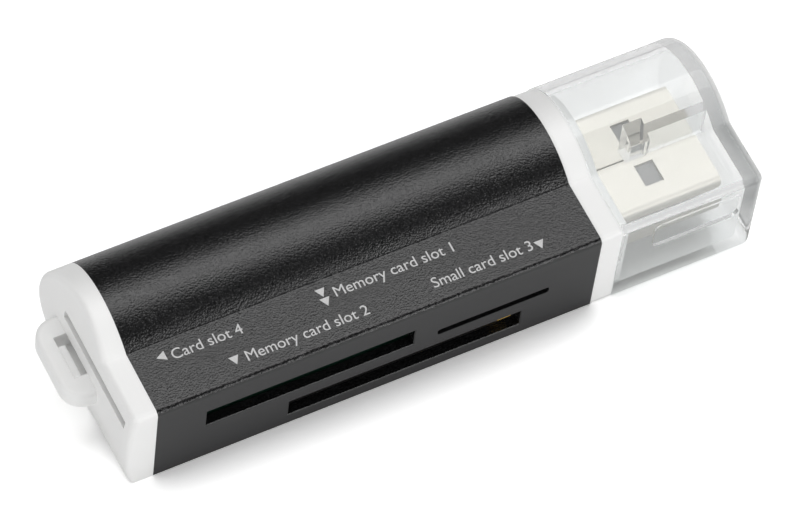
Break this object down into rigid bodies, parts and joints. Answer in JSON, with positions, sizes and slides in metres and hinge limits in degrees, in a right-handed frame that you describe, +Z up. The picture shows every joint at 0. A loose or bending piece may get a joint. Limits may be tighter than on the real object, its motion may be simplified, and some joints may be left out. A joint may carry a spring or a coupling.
{
  "type": "usb memory card reader",
  "caption": "Stick-shaped card reader: black metal sleeve with card slots, white end cap with cord eye, plug under a clear pull-off cap.",
  "frame": {"origin": "centre of the bounding box on the surface the stick rests on", "axes": "+X along the stick towards the plug, -Y towards the slotted front, +Z up as the stick lies"},
  "size_m": [0.0696, 0.0208, 0.0156],
  "materials": {
    "black_anodised": "bead-blasted, satin black anodised",
    "white_plastic": "semi-gloss moulded white",
    "clear_plastic": "clear, polished",
    "plug_steel": "nickel-plated sheet",
    "dark_plastic": "moulded, matt",
    "grey_plastic": "moulded, matt",
    "contact_gold": "gold-plated spring metal",
    "green_board": "solder-masked laminate",
    "shield_steel": "stamped sheet",
    "chip_black": "moulded resin",
    "capacitor_tan": "fired ceramic"
  },
  "bodies": {
    "reader": {"capacitors": "capacitor_tan", "collar": "white_plastic", "controller_chip": "chip_black", "crystal": "shield_steel", "end_cap": "white_plastic", "end_socket_contacts": "contact_gold", "end_socket_frame": "dark_plastic", "end_socket_shield": "shield_steel", "main_board": "green_board", "micro_socket_contacts": "contact_gold", "micro_socket_frame": "dark_plastic", "micro_socket_shield": "shield_steel", "resistors": "chip_black", "sleeve": "black_anodised", "status_light": "white_plastic", "stick_socket_contacts": "contact_gold", "stick_socket_frame": "dark_plastic", "stick_socket_shield": "shield_steel", "usb_contact_1": "contact_gold", "usb_contact_2": "contact_gold", "usb_contact_3": "contact_gold", "usb_contact_4": "contact_gold", "usb_insulator": "grey_plastic", "usb_shell": "plug_steel", "voltage_regulator": "chip_black", "wide_socket_contacts": "contact_gold", "wide_socket_frame": "dark_plastic", "wide_socket_shield": "shield_steel"},
    "cap": {"clear_cap": "clear_plastic"}
  },
  "joints": [
    {"name": "cap_slide", "type": "slide", "parent": "reader", "child": "cap", "axis": [1, 0, 0], "range_m": [0, 0.016]}
  ]
}
